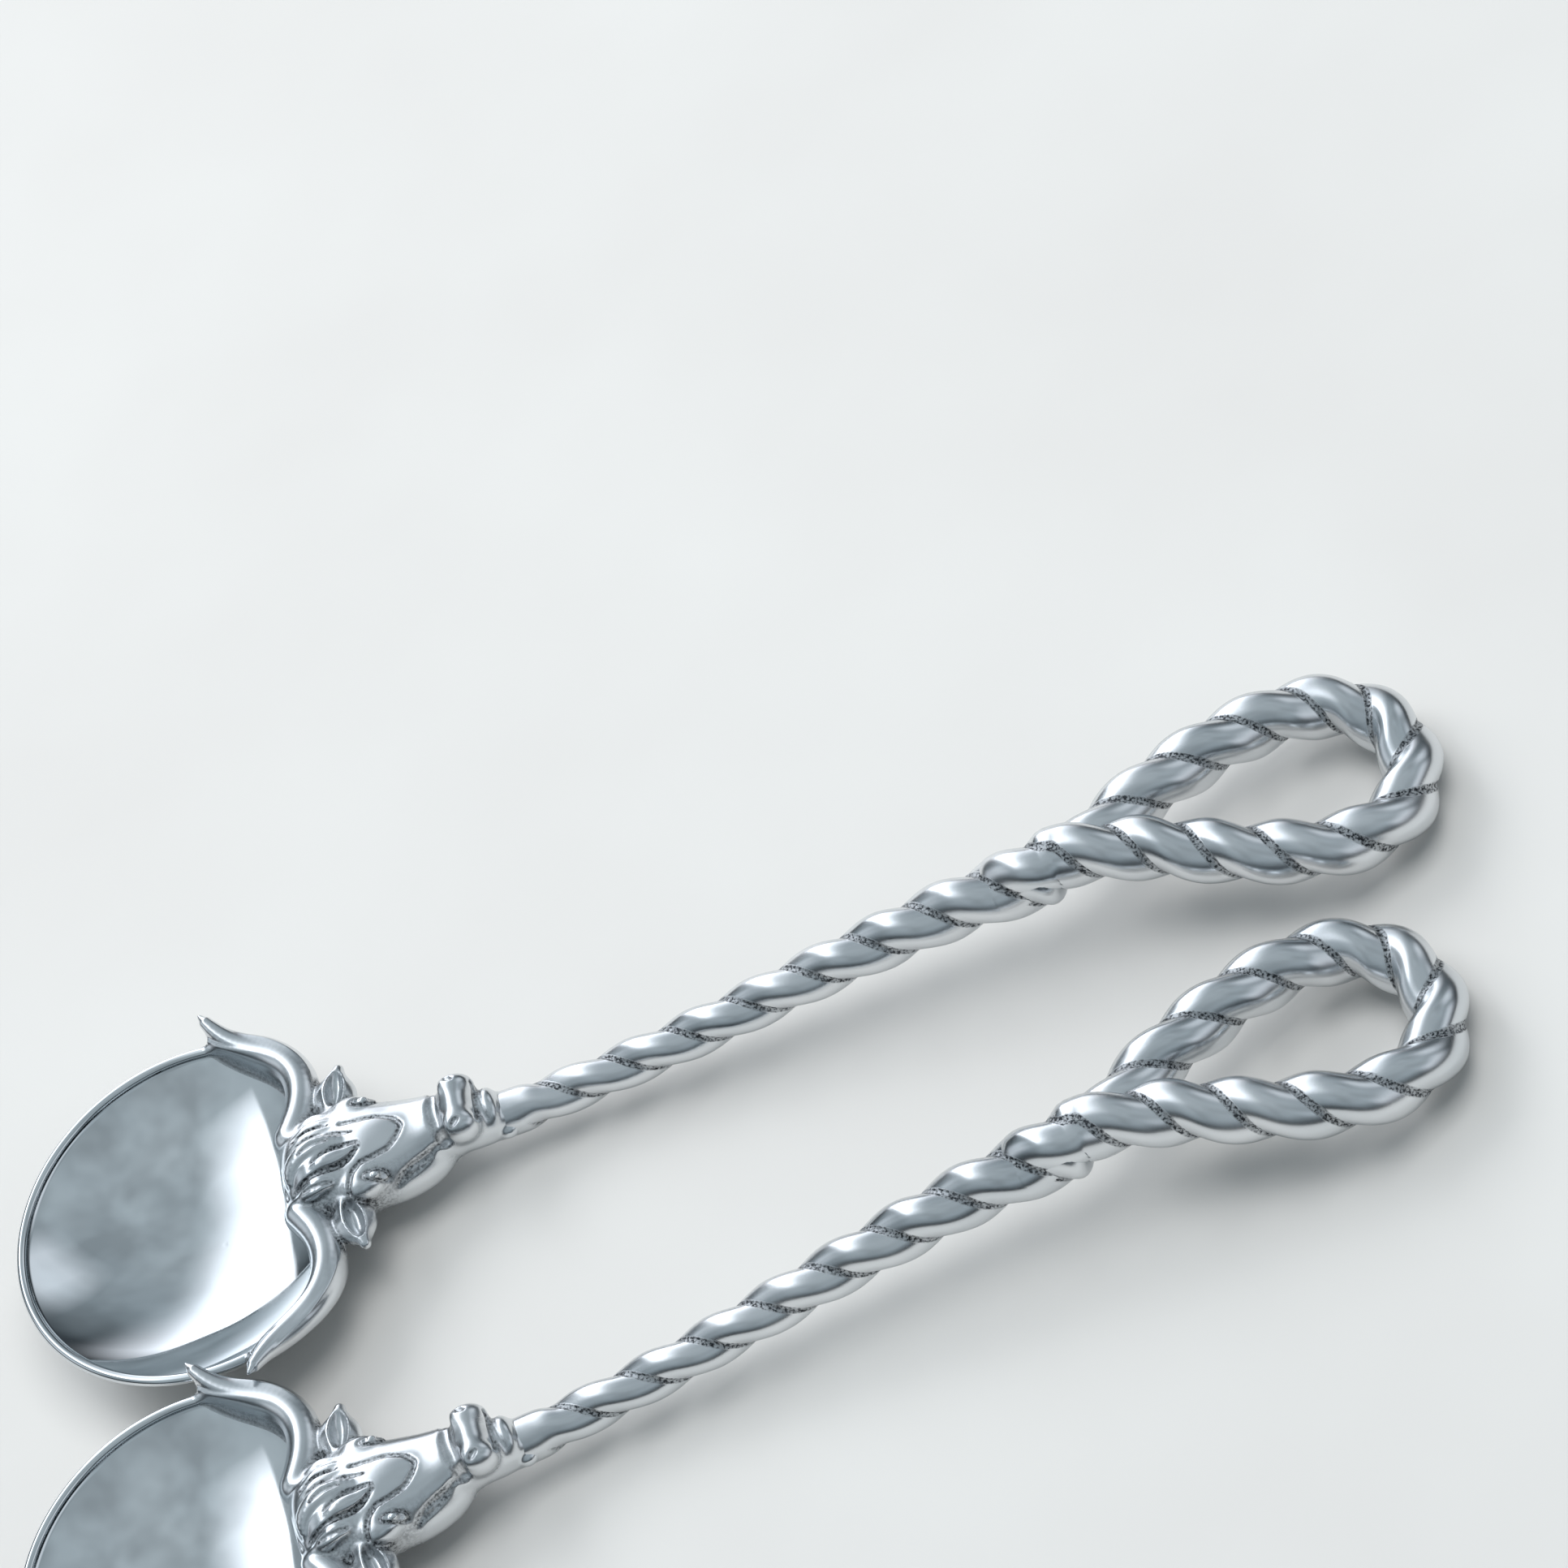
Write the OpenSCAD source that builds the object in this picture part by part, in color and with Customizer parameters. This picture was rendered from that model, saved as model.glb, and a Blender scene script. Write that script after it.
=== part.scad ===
// A pair of cast aluminium salad servers. Each one is a round spoon bowl with a
// long-horned steer head at its root and a twisted rope handle that ends in an eye.
// Millimetres, +Z up. Both lie face up on the plane z = 0 with their bowls towards -X.

/* [Spoon bowl] */
// Radius of the bowl's round rim
bowl_r = 40; // [34:0.5:48]
// Depth of the bowl, from the rim's middle plane to its lowest outside point
bowl_depth = 15; // [12.5:0.5:18]
// Wall thickness of the bowl
bowl_wall = 1.8; // [1.5:0.1:2.4]
// Radius of the rounded bead along the rim
rim_bead = 1.1; // [0.9:0.05:1.4]

/* [Steer head] */
// How far the head reaches over the bowl, inside its rim
head_overlap = 21.5; // [18:0.5:26]
// Length of the head, from the poll to the end of the muzzle
head_len = 42; // [35:0.5:50]
// Width of the head across the brow
head_w = 27; // [23:0.5:32]
// Height of the brow above the rim
brow_h = 6; // [5:0.25:7.5]
// Height of the muzzle above the rim
muzzle_h = 9.5; // [8:0.25:11.5]
// Width of the muzzle
muzzle_w = 17; // [14:0.5:20]
// Width across both ear tips
ears_w = 48; // [42:0.5:56]
// Widest part of an ear
ear_w = 8; // [6.5:0.25:9.5]

/* [Horns] */
// Width across both horn tips
horns_w = 90; // [84:0.5:104]
// Thickness of a horn at its root
horn_d = 6.2; // [5:0.1:7.4]
// Height of the horn tips above the rim
horn_tip_h = 3.8; // [2.5:0.1:6]

/* [Rope handle] */
// Length of the rope handle, from the head to its thick end
handle_len = 126; // [105:1:152]
// Diameter of the rope next to the head
rope_d_head = 9.4; // [8:0.1:11]
// Diameter of the rope at the handle's thick end
rope_d_end = 14.8; // [12.5:0.1:17.5]
// How far the handle rises between the head and its thick end
handle_rise = 15.5; // [12:0.5:19]
// Length of one full turn of the two strands
rope_lay = 28; // [23:0.5:34]

/* [Hanging eye] */
// Length of the eye, along the handle
eye_len = 73.5; // [62:0.5:86]
// Width across the middle lines of the eye's two legs
eye_w = 34.8; // [29:0.2:41.8]
// Diameter of the rope round the eye
eye_rope_d = 13.2; // [11:0.1:15.2]
// How far the eye is bent to the left, off the handle's line
eye_aside = 3.2; // [0:0.2:5]

/* [Laying out the pair] */
// How far server B lies behind server A, towards -X
pair_back = 8; // [0:0.5:16]
// Clear space between the two bowls' rims
pair_gap = 3; // [2:0.25:12]
// Angle between the two handles
pair_yaw = 6; // [0:0.25:7]

/* [Hidden] */
$fn = 96;

// Facets: sides round a swept tube, and sides of the spheres inside a hull.
tube_sides = 12;
hull_fn = 24;

// The head's own stations along X, counted from the poll over the bowl.
poll_x = bowl_r - head_overlap;
muzzle_x = poll_x + head_len;
handle_x0 = muzzle_x + 2;
handle_x1 = handle_x0 + handle_len;
eye_x0 = handle_x1 - 4;
eye_x1 = eye_x0 + eye_len;

// The bowl is two spheres: the outside passes through the rim and the lowest point.
outer_r = (bowl_r * bowl_r + bowl_depth * bowl_depth) / (2 * bowl_depth);
inner_rim = bowl_r - bowl_wall;
inner_depth = bowl_depth - bowl_wall;
inner_r = (inner_rim * inner_rim + inner_depth * inner_depth) / (2 * inner_depth);

// The middle line of the rope rises to the thick end and dips again round the eye.
line_h0 = -3.5;
eye_tip_h = 3.5;
function blend01(t) = (1 - cos(180 * min(1, max(0, t)))) / 2;
function line_h(x) = x < handle_x1
    ? line_h0 + handle_rise * blend01((x - handle_x0) / handle_len)
    : line_h0 + handle_rise
        - (line_h0 + handle_rise - eye_tip_h) * pow((x - handle_x1) / (eye_x1 - handle_x1), 2);

// Each server leans by this angle, so that its bowl and the tip of its eye both touch z = 0.
lean = asin((eye_tip_h - eye_rope_d / 2 + bowl_depth) / eye_x1);
lift = outer_r - (outer_r - bowl_depth) * cos(lean);

// The middle of the pair's box is brought to the origin. The horn tips set its width.
pair_dy = sqrt(pow(2 * bowl_r + pair_gap, 2) - pair_back * pair_back);
tip_spread = horns_w / 2 + 0.5;
box_x = (eye_x1 + eye_rope_d / 2 - pair_back - bowl_r) / 2;
box_y = (tip_spread - pair_dy - tip_spread * cos(pair_yaw)) / 2;

cast_colour = "silver";
dark_colour = "lightsteelblue";

// ---- Vectors and sweeps ----

function unit(v) = v / norm(v);
function side_of(t) = unit(cross([0, 0, 1], t));
function tangent(p, i) = unit(p[min(i + 1, len(p) - 1)] - p[max(i - 1, 0)]);
function run_to(p, i) = i == 0 ? 0 : run_to(p, i - 1) + norm(p[i] - p[i - 1]);

// Reach of a section at angle a: 1 for a plain round, two merged strands when lobe > 0.
function reach(a, lobe) = lobe * abs(cos(a)) + sqrt(pow(1 - lobe, 2) - pow(lobe * sin(a), 2));

// One ring of points round p[i]. wide and high are half sizes, turn is the strands' angle.
function ring(p, i, wide, high, turn, lobe) =
    let (t = tangent(p, i), s = side_of(t), u = cross(t, s))
    [for (k = [0 : tube_sides - 1])
        let (a = 360 * k / tube_sides, r = reach(a - turn, lobe))
        p[i] + s * (wide * r * cos(a)) + u * (high * r * sin(a))];

// A closed tube through the points p. wide and high hold one half size for each point.
module tube(p, wide, high, lobe = 0, turns = []) {
    n = len(p);
    rings = [for (i = [0 : n - 1]) ring(p, i, wide[i], high[i], lobe > 0 ? turns[i] : 0, lobe)];
    m = tube_sides;
    polyhedron(
        points = [for (r = rings) each r],
        faces = concat(
            [for (k = [1 : m - 2]) [0, k, k + 1]],
            [for (i = [0 : n - 2], k = [0 : m - 1])
                [i * m + k, (i + 1) * m + k, (i + 1) * m + (k + 1) % m]],
            [for (i = [0 : n - 2], k = [0 : m - 1])
                [i * m + k, (i + 1) * m + (k + 1) % m, i * m + (k + 1) % m]],
            [for (k = [1 : m - 2]) [for (j = [k + 1, k, 0]) (n - 1) * m + j]]),
        convexity = 6);
}

// A two-strand rope of half thickness half[i] along p. start is the strands' first angle.
strand_lobe = 0.24;
module rope(p, half, start) {
    turns = [for (i = [0 : len(p) - 1]) start + 360 * run_to(p, i) / rope_lay];
    tube(p, half, half, strand_lobe, turns);
}

module ball_at(x, y, z, r) {
    translate([x, y, z])
        sphere(r, $fn = hull_fn);
}

// Two balls, one each side of the head.
module ball_pair(x, y, z, r) {
    ball_at(x, y, z, r);
    ball_at(x, -y, z, r);
}

// ---- The parts of one server, in its own frame: rim plane z = 0, rim centre at the origin ----

module bowl() {
    color(cast_colour) {
        difference() {
            intersection() {
                translate([0, 0, outer_r - bowl_depth])
                    sphere(outer_r);
                translate([0, 0, -bowl_depth - 1])
                    cylinder(r = bowl_r, h = bowl_depth + 1);
            }
            translate([0, 0, inner_r - inner_depth])
                sphere(inner_r);
        }
        rotate_extrude()
            translate([bowl_r - rim_bead, 0])
                circle(rim_bead);
    }
}

// The horn's middle line runs along the rim and then flips outwards to its tip.
// share is 0 at the root and 1 at the tip.
// The root lies inside the head, so it moves with the head and with the head's width.
horn_root = [poll_x + 2.7855, head_w / 2 - 4.023];
horn_root_a = atan2(horn_root.y, horn_root.x);
horn_tip_a = 81.5;
horn_inset = 2.2;
horn_steps = 14;
function horn_bearing(share) = horn_root_a + (horn_tip_a - horn_root_a) * pow(share, 0.85);
function horn_in(share) = (bowl_r - norm(horn_root) - horn_inset) * pow(1 - share, 4) + horn_inset;
function horn_out(share) = (horns_w / 2 - bowl_r + horn_inset + 0.6) * pow(share, 7);
function horn_point(share, side) =
    let (a = horn_bearing(share), r = bowl_r - horn_in(share) + horn_out(share))
    [r * cos(a), side * r * sin(a), -0.6 + (horn_tip_h + 0.6) * pow(share, 5)];
function horn_half(share) = horn_d / 2 * pow(1 - share, 0.5) * (1 - 0.25 * share) + 0.4;

module horn(side) {
    shares = [for (i = [0 : horn_steps]) i / horn_steps];
    halves = [for (s = shares) horn_half(s)];
    color(cast_colour)
        tube([for (s = shares) horn_point(s, side)], halves, halves);
}

// The skull: one smooth wedge from the wide poll to the narrow bridge of the nose.
poll_ball = 7;
brow_ball = 8;
bridge_ball = 6.5;
module head() {
    color(cast_colour)
        hull() {
            ball_pair(poll_x + poll_ball, head_w / 2 - poll_ball, brow_h - 4 - poll_ball, poll_ball);
            ball_pair(poll_x + 18, head_w / 2 - brow_ball, brow_h - brow_ball, brow_ball);
            ball_at(muzzle_x - 10, 0, muzzle_h - 1.5 - bridge_ball, bridge_ball);
        }
}

// The mop of hair between the horns, over the brow.
module forelock() {
    color(dark_colour)
        hull() {
            ball_pair(poll_x + 4.5, 6, brow_h - 6.5, 3.5);
            ball_pair(poll_x + 10, 5.5, brow_h - 3, 3.4);
            ball_at(poll_x + 17.5, 0, brow_h - 1.8, 2.6);
        }
}

// One ear: a flattened leaf that stands out sideways. It leans on the back of the horn, where
// the horn leaves the head.
ear_steps = 6;
ear_sweep = 3.5;
ear_root_y = head_w / 2 - 2;
horn_back = horn_point(0.1, 1);
ear_x = horn_back.x + 6.5345
    - ear_sweep * (horn_back.y - ear_root_y) / (ears_w / 2 - ear_root_y);
module ear(side) {
    root = [ear_x, side * ear_root_y, brow_h - 6];
    tip = [ear_x + ear_sweep, side * (ears_w / 2), brow_h - 6.4];
    shares = [for (i = [0 : ear_steps]) i / ear_steps];
    color(cast_colour)
        tube(
            [for (s = shares) root + (tip - root) * s + [0, 0, 1.4 * sin(180 * s)]],
            [for (s = shares) ear_w / 2 * (0.5 + 0.5 * sin(200 * s)) * (1 - pow(s, 4)) + 0.5],
            [for (s = shares) 1.9 * (1 - 0.6 * s) + 0.2]);
}

// The broad muzzle block, higher than the bridge behind it.
nose_ball = 4.2;
module muzzle() {
    color(cast_colour)
        hull() {
            ball_pair(muzzle_x - 6, muzzle_w / 2 - nose_ball, muzzle_h - 1 - nose_ball, nose_ball);
            ball_pair(muzzle_x - 4, muzzle_w / 2 - nose_ball - 1, muzzle_h - nose_ball, nose_ball);
            ball_pair(muzzle_x - 5, 3, muzzle_h - 10, nose_ball);
        }
}

// The lips and chin, which hold the end of the rope.
lip_ball = 3;
module lip() {
    color(cast_colour)
        hull() {
            ball_pair(muzzle_x + 1.5, 2.8, muzzle_h - 1.5 - lip_ball, lip_ball);
            ball_pair(muzzle_x, 2.8, muzzle_h - 10.5, lip_ball);
        }
}

// The rope handle grows thicker towards the eye.
ring_step = 2.4;
module handle() {
    n = ceil(handle_len / ring_step);
    xs = [for (i = [0 : n]) handle_x0 + handle_len * i / n];
    halves = [for (x = xs)
        let (t = (x - handle_x0) / handle_len)
        (rope_d_head + (rope_d_end - rope_d_head) * pow(t, 2.5)) / 2];
    color(cast_colour)
        rope([for (x = xs) [x, 0, line_h(x)]], halves, 0);
}

// The eye's middle line is a teardrop. Its angle is 0 in the throat and 180 at the far tip.
eye_steps = 36;
eye_start_a = 22;
teardrop_max = 0.6495;
eye_bend_len = 25;
left_leg_raised = -1;
right_leg_raised = 4;
function eye_point(a, side, raised) =
    let (x = eye_x0 + eye_len * (1 - cos(a)) / 2)
    [x, side * eye_w / 2 * sin(a) * pow(sin(a / 2), 2) / teardrop_max
            + eye_aside * blend01((x - eye_x0) / eye_bend_len),
        line_h(x) + raised * pow(cos(a / 2), 6)];

// One leg of the eye, from the throat to the tip, where the two legs meet face to face.
module eye_leg(side, raised) {
    angles = [for (i = [0 : eye_steps]) eye_start_a + (180 - eye_start_a) * i / eye_steps];
    points = [for (a = angles) eye_point(a, side, raised)];
    color(cast_colour)
        rope(points, [for (a = angles) eye_rope_d / 2], 40);
}

// ---- The pair ----

module laid_flat() {
    translate([0, 0, lift])
        rotate([0, lean, 0])
            children();
}

module server_a() {
    translate([-box_x, -box_y, 0])
        laid_flat()
            children();
}

module server_b() {
    translate([-box_x - pair_back, -box_y - pair_dy, 0])
        rotate([0, 0, pair_yaw])
            laid_flat()
                children();
}

server_a() bowl();  // server_a_bowl
server_a() horn(1);  // server_a_left_horn
server_a() horn(-1);  // server_a_right_horn
server_a() head();  // server_a_head
server_a() forelock();  // server_a_forelock
server_a() ear(1);  // server_a_left_ear
server_a() ear(-1);  // server_a_right_ear
server_a() muzzle();  // server_a_muzzle
server_a() lip();  // server_a_lip
server_a() handle();  // server_a_handle
server_a() eye_leg(1, left_leg_raised);  // server_a_eye_left_leg
server_a() eye_leg(-1, right_leg_raised);  // server_a_eye_right_leg
server_b() bowl();  // server_b_bowl
server_b() horn(1);  // server_b_left_horn
server_b() horn(-1);  // server_b_right_horn
server_b() head();  // server_b_head
server_b() forelock();  // server_b_forelock
server_b() ear(1);  // server_b_left_ear
server_b() ear(-1);  // server_b_right_ear
server_b() muzzle();  // server_b_muzzle
server_b() lip();  // server_b_lip
server_b() handle();  // server_b_handle
server_b() eye_leg(1, left_leg_raised);  // server_b_eye_left_leg
server_b() eye_leg(-1, right_leg_raised);  // server_b_eye_right_leg
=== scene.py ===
# %% [markdown]
# # A pair of cast aluminium salad servers
#
# Each server is poured in one go: a round spoon bowl, a steer head whose long horns hug the rim,
# and a handle like a twisted rope that closes on itself in a hanging eye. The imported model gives
# the places and sizes. This lesson rebuilds the skin of the metal over it: a polished bowl, a
# sculpted head, and two lengths of rope for each server.

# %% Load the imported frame
import math

import bpy
import numpy as np
from mathutils import Matrix, Vector


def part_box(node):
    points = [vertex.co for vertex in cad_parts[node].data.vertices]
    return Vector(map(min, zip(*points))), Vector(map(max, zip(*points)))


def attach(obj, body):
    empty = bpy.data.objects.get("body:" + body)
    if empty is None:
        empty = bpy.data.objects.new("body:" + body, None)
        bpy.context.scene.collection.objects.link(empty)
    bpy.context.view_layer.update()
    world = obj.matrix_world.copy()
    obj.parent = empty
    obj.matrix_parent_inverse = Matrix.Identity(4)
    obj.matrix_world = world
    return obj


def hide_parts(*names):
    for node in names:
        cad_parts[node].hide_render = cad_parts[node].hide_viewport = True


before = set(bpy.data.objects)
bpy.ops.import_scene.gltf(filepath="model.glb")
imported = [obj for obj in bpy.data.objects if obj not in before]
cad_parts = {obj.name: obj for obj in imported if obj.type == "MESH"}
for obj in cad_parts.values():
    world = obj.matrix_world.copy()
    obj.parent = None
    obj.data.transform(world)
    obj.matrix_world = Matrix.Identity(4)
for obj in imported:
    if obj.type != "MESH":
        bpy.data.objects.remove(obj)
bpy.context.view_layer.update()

# %% [markdown]
# ## Two frames of reference
#
# A carver works on one server at a time, so everything is modelled once, in millimetres, in the
# server's own frame: the rim of the bowl is the plane z = 0, its centre is the origin, and the
# handle runs along +X. Each server is then leaned over a little, so that its bowl and the tip of
# its eye both touch the table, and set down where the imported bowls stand. The driving sizes below
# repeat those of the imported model.

# %% Driving sizes and the way each server lies
MM = 0.001
BOWL_R = 40.0
BOWL_DEPTH = 15.0
BOWL_WALL = 1.8
RIM_BEAD = 1.1
HANDLE_X0 = 62.5
HANDLE_LEN = 126.0
HANDLE_RISE = 15.5
LINE_H0 = -3.5
ROPE_D_HEAD = 9.4
ROPE_D_END = 14.8
ROPE_LAY = 28.0
EYE_X0 = 184.5
EYE_LEN = 73.5
EYE_W = 34.8
EYE_ROPE_D = 13.2
EYE_TIP_H = 3.5
EYE_ASIDE = 3.2
EYE_BEND_LEN = 25.0
HORN_ROOT_A = 24.0
HORN_ROOT_R = 23.3
HORN_TIP_A = 81.5
HORN_TIP_H = 3.8
HORN_INSET = 2.2
HORNS_W = 90.0
PAIR_YAW = {"server_a": 0.0, "server_b": 6.0}

OUTER_R = (BOWL_R ** 2 + BOWL_DEPTH ** 2) / (2 * BOWL_DEPTH)
LEAN = math.asin((EYE_TIP_H - EYE_ROPE_D / 2 + BOWL_DEPTH) / (EYE_X0 + EYE_LEN))
LIFT = OUTER_R - (OUTER_R - BOWL_DEPTH) * math.cos(LEAN)


def resting_place(server):
    """The matrix from a server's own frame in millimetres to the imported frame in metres."""
    low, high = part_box(server + "_bowl")
    spot = Matrix.Translation(((low[0] + high[0]) / 2, (low[1] + high[1]) / 2, LIFT * MM))
    yaw = Matrix.Rotation(math.radians(PAIR_YAW[server]), 4, "Z")
    return spot @ yaw @ Matrix.Rotation(LEAN, 4, "Y") @ Matrix.Scale(MM, 4)


PLACES = {server: resting_place(server) for server in PAIR_YAW}
for server, place in PLACES.items():
    print(server, "rim centre at", [round(v, 4) for v in place.translation])

# %% [markdown]
# ## The camera
#
# The pair is looked down on from the near side, a little from the right, and the picture is
# tilted, so that the handles climb to the upper right. A long lens keeps the near bowl from
# swelling. The camera is placed by the point that it looks at, its bearing, height and roll.

# %% Camera
CAMERA_AIM = Vector((0.0287, 0.0895, 0.015))
CAMERA_BEARING = math.radians(15.27)
CAMERA_ELEVATION = math.radians(48.47)
CAMERA_ROLL = math.radians(33.07)
CAMERA_DISTANCE = 1.1462
CAMERA_LENS = 130.4


def add_camera():
    """A camera that looks at CAMERA_AIM from the bearing and elevation, rolled about its axis."""
    back = Vector((
        math.sin(CAMERA_BEARING) * math.cos(CAMERA_ELEVATION),
        -math.cos(CAMERA_BEARING) * math.cos(CAMERA_ELEVATION),
        math.sin(CAMERA_ELEVATION)))
    data = bpy.data.cameras.new("studio_camera")
    data.lens = CAMERA_LENS
    data.sensor_width = 36.0
    data.clip_end = 20.0
    camera = bpy.data.objects.new("studio_camera", data)
    turn = back.to_track_quat("Z", "Y").to_matrix().to_4x4()
    roll = Matrix.Rotation(-CAMERA_ROLL, 4, "Z")
    camera.matrix_world = Matrix.Translation(CAMERA_AIM + back * CAMERA_DISTANCE) @ turn @ roll
    bpy.context.collection.objects.link(camera)
    bpy.context.scene.camera = camera
    return camera


camera = add_camera()
print("camera at", [round(v, 3) for v in camera.matrix_world.translation])

# %% [markdown]
# ## Colours and nodes
#
# Colours are written as hex values, as a paint chart gives them, and turned linear by one
# function. Another function adds any shader or geometry node with its settings and its links. A
# node given as an input stands for its first output, and inputs without names go in order.

# %% Helpers for colours and nodes


def linear(hex_colour):
    """An sRGB hex colour as linear RGBA."""
    channels = [int(hex_colour[i:i + 2], 16) / 255 for i in (1, 3, 5)]
    return [c / 12.92 if c <= 0.04045 else ((c + 0.055) / 1.055) ** 2.4 for c in channels] + [1.0]


def add_node(tree, kind, inputs=(), stops=(), **settings):
    """Adds a node. stops are a colour ramp's places and hex colours."""
    node = tree.nodes.new(kind)
    for name, value in settings.items():
        setattr(node, name, value)
    for index, (place, colour) in enumerate(stops):
        elements = node.color_ramp.elements
        element = elements[index] if index < len(elements) else elements.new(place)
        element.position = place
        element.color = linear(colour)
    for key, value in inputs.items() if isinstance(inputs, dict) else enumerate(inputs):
        if isinstance(value, bpy.types.Node):
            value = value.outputs[0]
        if isinstance(value, bpy.types.NodeSocket):
            tree.links.new(value, node.inputs[key])
        else:
            node.inputs[key].default_value = value
    return node


print("helpers ready, mid grey is", round(linear("#808080")[0], 3))

# %% [markdown]
# ## The bowl
#
# The bowl is a shallow dish with a thin wall and a rounded bead along its rim. Behind each horn the
# rim is drawn in, so that only the horn shows from outside, and under the head it stops early.
# The dish is turned from one profile, whose rim moves with the bearing, so its mesh has the clean
# curves that a mirror polish needs. A polishing wheel never leaves a perfect sphere, so very low
# waves are added, a few hundredths of a millimetre high. They are too low to feel, but they bend
# the reflections as in the real dish.

# %% The middle line of a horn, and the rim that follows it
INNER_R = ((BOWL_R - BOWL_WALL) ** 2 + (BOWL_DEPTH - BOWL_WALL) ** 2) / (2 * (BOWL_DEPTH - BOWL_WALL))
OUTER_TOP = OUTER_R - BOWL_DEPTH
INNER_TOP = INNER_R - (BOWL_DEPTH - BOWL_WALL)
HORN_SPREAD = 0.85
HORN_FLIP = 0.3
RIM_PAST_HORN = 2.4


def horn_reach(share):
    """Distance from the bowl's centre to the horn's middle line, from root (0) to tip (1)."""
    inset = (BOWL_R - HORN_ROOT_R - HORN_INSET) * (1 - share) ** 4 + HORN_INSET
    flip = (HORNS_W / 2 - BOWL_R + HORN_INSET + HORN_FLIP) * share ** 7
    return BOWL_R - inset + flip


def rim_radius(bearing):
    """The rim's radius at a bearing from +X, drawn in where a horn or the head covers it."""
    bearing = np.degrees(np.abs((np.asarray(bearing) + math.pi) % math.tau - math.pi))
    share = np.clip((bearing - HORN_ROOT_A) / (HORN_TIP_A - HORN_ROOT_A), 0, 1)
    return np.minimum(BOWL_R, horn_reach(share ** (1 / HORN_SPREAD)) + RIM_PAST_HORN)


def wall_height(radius):
    """Height of the middle of the wall at a radius, measured from the full rim's bead."""
    outside = OUTER_TOP - np.sqrt(OUTER_R ** 2 - radius ** 2)
    inside = INNER_TOP - np.sqrt(INNER_R ** 2 - radius ** 2)
    return (outside + inside) / 2


RIM_SEAT = wall_height(BOWL_R - RIM_BEAD)
print("rim radius at 0, 35 and 70 degrees", rim_radius(np.radians((0, 35, 70))).round(1))

# %% The bowl's profile and mesh
BOWL_SIDES = 288
POLISH_WAVES = 14
POLISH_HEIGHT = 0.006


def bowl_profile(rim):
    """Radius and height from the lowest outside point, round the bead, to the inside's lowest."""
    bead_r = rim - RIM_BEAD
    bead_h = wall_height(bead_r) - RIM_SEAT
    out_r = np.linspace(0, bead_r - 0.25, 60)
    outside = np.stack([out_r, OUTER_TOP - np.sqrt(OUTER_R ** 2 - out_r ** 2)], 1)
    turn = np.radians(np.linspace(-100, 192, 26))
    bead = np.stack([bead_r + RIM_BEAD * np.cos(turn), bead_h + RIM_BEAD * np.sin(turn)], 1)
    in_r = np.linspace(bead_r - RIM_BEAD - 0.02, 0, 76)
    inside = np.stack([in_r, INNER_TOP - np.sqrt(INNER_R ** 2 - in_r ** 2)], 1)
    return np.concatenate([outside, bead, inside])


def polish_waves(points, seed):
    """Low waves over the points, one height for each."""
    random = np.random.default_rng(seed)
    height = np.zeros(len(points))
    for _ in range(POLISH_WAVES):
        bearing = random.uniform(0, math.tau)
        pitch = random.uniform(9.0, 24.0)
        along = points[:, 0] * math.cos(bearing) + points[:, 1] * math.sin(bearing)
        height += np.sin(math.tau * along / pitch + random.uniform(0, math.tau)) * pitch / 12
    return height * POLISH_HEIGHT


def revolve(sides, seed):
    """Points and faces of the closed dish. Each profile starts and ends on the axis."""
    turn = np.arange(sides) * math.tau / sides
    profiles = np.stack([bowl_profile(rim) for rim in rim_radius(turn)], 1)
    middle = profiles[1:-1]
    slope = np.gradient(profiles, axis=0)[1:-1]
    slope /= np.linalg.norm(slope, axis=2)[:, :, None]
    points = np.stack([middle[:, :, 0] * np.cos(turn), middle[:, :, 0] * np.sin(turn),
                       middle[:, :, 1]], 2).reshape(-1, 3)
    out = np.stack([slope[:, :, 1] * np.cos(turn), slope[:, :, 1] * np.sin(turn),
                    -slope[:, :, 0]], 2).reshape(-1, 3)
    points = points + out * polish_waves(points, seed)[:, None]
    rows = len(middle)
    poles = [(0, 0, profiles[0, 0, 1]), (0, 0, profiles[-1, 0, 1])]
    points = np.concatenate([points, poles])
    faces = []
    for row in range(rows - 1):
        for side in range(sides):
            here, there = row * sides + side, row * sides + (side + 1) % sides
            faces.append((here, there, there + sides, here + sides))
    for side in range(sides):
        there = (side + 1) % sides
        faces.append((rows * sides, there, side))
        last = (rows - 1) * sides
        faces.append((rows * sides + 1, last + side, last + there))
    return points, faces


bowl_points, bowl_faces = revolve(BOWL_SIDES, seed=4)
print("bowl faces", len(bowl_faces))

# %% [markdown]
# ## Clay
#
# The head and the horns have no straight rule, so they are sculpted. Clay is a grid of numbers
# that say how far each point lies from the surface, less than zero inside. Lumps are pressed on
# and grooves are cut with a soft edge, as fingers and a wire loop do. A soft join is what gives
# the fillets of a real casting.

# %% The clay grid and the tools that work it
CLAY_STEP = 0.31
CLAY_LOW = np.array((-2.0, -48.4, -13.2))
CLAY_HIGH = np.array((72.0, 48.4, 12.0))
CLAY_SHAPE = tuple(((CLAY_HIGH - CLAY_LOW) / CLAY_STEP).astype(int) + 1)
FAR = 30.0


def fresh_clay():
    """An empty grid."""
    return np.full(CLAY_SHAPE, FAR, np.float32)


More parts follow.
